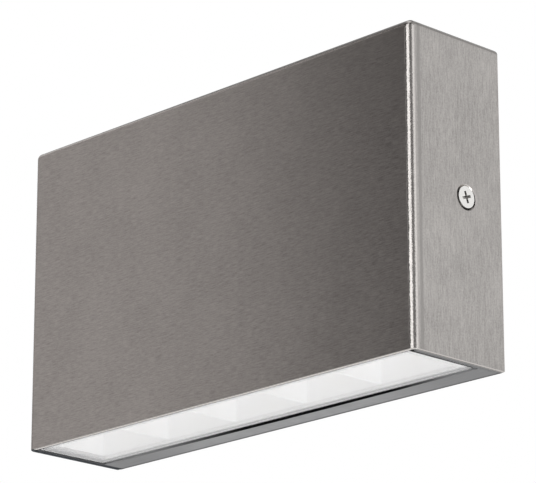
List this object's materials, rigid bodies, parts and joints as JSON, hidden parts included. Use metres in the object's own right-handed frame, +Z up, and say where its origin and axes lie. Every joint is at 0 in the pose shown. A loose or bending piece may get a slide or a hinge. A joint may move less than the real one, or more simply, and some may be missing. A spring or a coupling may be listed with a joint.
{
  "type": "outdoor wall light",
  "caption": "Flat box-shaped outdoor wall light: a folded brushed steel cover over a wall plate that carries a downward LED lamp unit with a celled reflector behind clear glass.",
  "frame": {"origin": "middle of the light's back, on the wall plane", "axes": "+Y into the wall, +Z up, +X to the right as seen from in front"},
  "size_m": [0.2202, 0.05, 0.13],
  "materials": {
    "cover_steel": "brushed stainless steel",
    "plate_steel": "satin stainless sheet",
    "screw_steel": "bright stainless screws",
    "zinc": "bright zinc plate",
    "clear_glass": "clear, polished",
    "grey_seal": "matt grey silicone",
    "black_rubber": "matt black rubber",
    "white_reflector": "satin white moulding",
    "cast_aluminium": "satin, as cast",
    "white_board": "white solder mask on aluminium",
    "grey_pad": "soft thermal pad",
    "led_yellow": "phosphor",
    "clear_dome": "clear silicone lens",
    "driver_white": "fine moulded texture",
    "terminal_white": "natural polyamide",
    "brass": "turned brass",
    "tinned": "tinned crimp lug",
    "brown_wire": "wire insulation",
    "blue_wire": "wire insulation",
    "earth_wire": "wire insulation",
    "red_wire": "wire insulation",
    "black_wire": "wire insulation"
  },
  "bodies": {
    "base": {"back_plate": "plate_steel", "cable_grommet": "black_rubber", "window_glass": "clear_glass", "window_gasket": "grey_seal", "lamp_housing": "cast_aluminium", "reflector": "white_reflector", "thermal_pad": "grey_pad", "led_board": "white_board", "led_packages": "led_yellow", "led_domes": "clear_dome", "board_screws": "zinc", "lamp_bracket_right": "plate_steel", "lamp_bracket_left": "plate_steel", "bracket_rivets": "zinc", "housing_screws": "zinc", "housing_grommet": "black_rubber", "driver_case": "driver_white", "driver_lid": "driver_white", "driver_screws": "zinc", "terminal_block": "terminal_white", "terminal_barrels": "brass", "terminal_screws": "zinc", "terminal_fixings": "zinc", "earth_lug": "tinned", "earth_screw": "brass", "wire_live": "brown_wire", "wire_neutral": "blue_wire", "wire_earth": "earth_wire", "wire_led_positive": "red_wire", "wire_led_negative": "black_wire"},
    "cover": {"cover_shell": "cover_steel"},
    "right_screw": {"side_screw_right": "screw_steel"},
    "left_screw": {"side_screw_left": "screw_steel"},
    "right_clamp": {"clamp_plate_right": "zinc"},
    "left_clamp": {"clamp_plate_left": "zinc"}
  },
  "joints": [
    {"name": "cover_release", "type": "slide", "parent": "base", "child": "cover", "axis": [0, -1, 0], "range_m": [0, 0.06]},
    {"name": "right_screw_turn", "type": "hinge", "parent": "cover", "child": "right_screw", "pos_m": [0.1097, -0.02, 0], "axis": [1, 0, 0], "range_deg": [0, 515]},
    {"name": "right_clamp_slide", "type": "slide", "parent": "cover", "child": "right_clamp", "axis": [-1, 0, 0], "range_m": [0, 0.001]},
    {"name": "left_screw_turn", "type": "hinge", "parent": "cover", "child": "left_screw", "pos_m": [-0.1097, -0.02, 0], "axis": [-1, 0, 0], "range_deg": [0, 515]},
    {"name": "left_clamp_slide", "type": "slide", "parent": "cover", "child": "left_clamp", "axis": [1, 0, 0], "range_m": [0, 0.001]}
  ],
  "couplings": [
    {"joint": "right_screw_turn", "follows": "right_clamp_slide", "rad_per_m": 8976},
    {"joint": "left_screw_turn", "follows": "left_clamp_slide", "rad_per_m": 8976}
  ]
}
